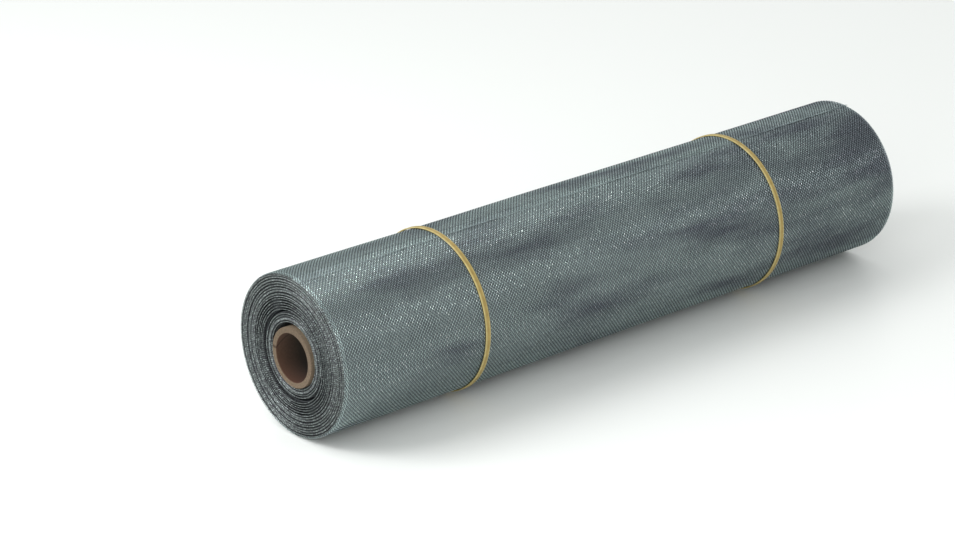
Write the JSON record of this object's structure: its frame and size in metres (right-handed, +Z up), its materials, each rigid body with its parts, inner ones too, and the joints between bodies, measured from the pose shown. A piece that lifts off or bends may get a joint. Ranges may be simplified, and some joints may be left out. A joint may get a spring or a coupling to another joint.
{
  "type": "roll of insect screen mesh",
  "caption": "Roll of woven metal insect screen wound on a cardboard tube and held by rubber bands, for covering windows and doors against insects.",
  "frame": {"origin": "on the floor under the middle of the roll's full length, straight below the roll's axis", "axes": "+X along the roll's axis from its near end to its far end, +Z up, +Y to the left when looking along +X"},
  "size_m": [0.6012, 0.1346, 0.1345],
  "materials": {
    "screen_cloth": "satin",
    "tube_cardboard": "matte",
    "band_rubber": "satin"
  },
  "bodies": {
    "root": {"mesh_roll": "screen_cloth", "core_tube": "tube_cardboard", "rubber_band_near": "band_rubber", "rubber_band_far": "band_rubber"}
  },
  "joints": []
}
